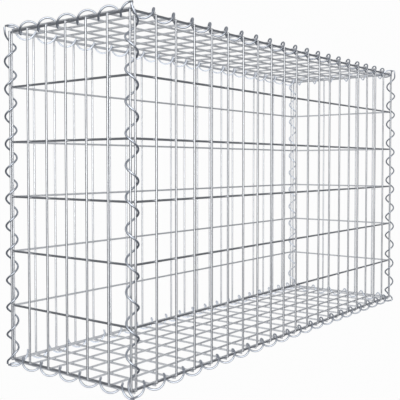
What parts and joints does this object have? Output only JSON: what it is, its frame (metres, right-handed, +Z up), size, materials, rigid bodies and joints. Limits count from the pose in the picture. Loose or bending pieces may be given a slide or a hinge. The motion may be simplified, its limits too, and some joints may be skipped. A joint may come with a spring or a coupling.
{
  "type": "gabion basket",
  "caption": "Empty welded-mesh gabion basket: a long box of galvanised wire panels laced together along every edge by wire spirals, to be filled with stone as one bay of a wall.",
  "frame": {"origin": "on the ground under the middle of the basket, at the lowest point of the loops that it stands on", "axes": "+X along the basket's length, +Y from its front to its back, +Z up"},
  "size_m": [1.0348, 0.3274, 0.6288],
  "materials": {
    "panel_wire": "zinc-aluminium coated drawn wire, dull satin",
    "spiral_wire": "zinc coated spring wire, a little darker and brighter in its highlights"
  },
  "bodies": {
    "root": {"front_panel": "panel_wire", "back_panel": "panel_wire", "left_end_panel": "panel_wire", "right_end_panel": "panel_wire", "base_panel": "panel_wire", "lid_panel": "panel_wire", "top_front_spiral": "spiral_wire", "top_back_spiral": "spiral_wire", "bottom_front_spiral": "spiral_wire", "bottom_back_spiral": "spiral_wire", "top_left_spiral": "spiral_wire", "top_right_spiral": "spiral_wire", "bottom_left_spiral": "spiral_wire", "bottom_right_spiral": "spiral_wire", "front_left_spiral": "spiral_wire", "front_right_spiral": "spiral_wire", "back_left_spiral": "spiral_wire", "back_right_spiral": "spiral_wire"}
  },
  "joints": []
}
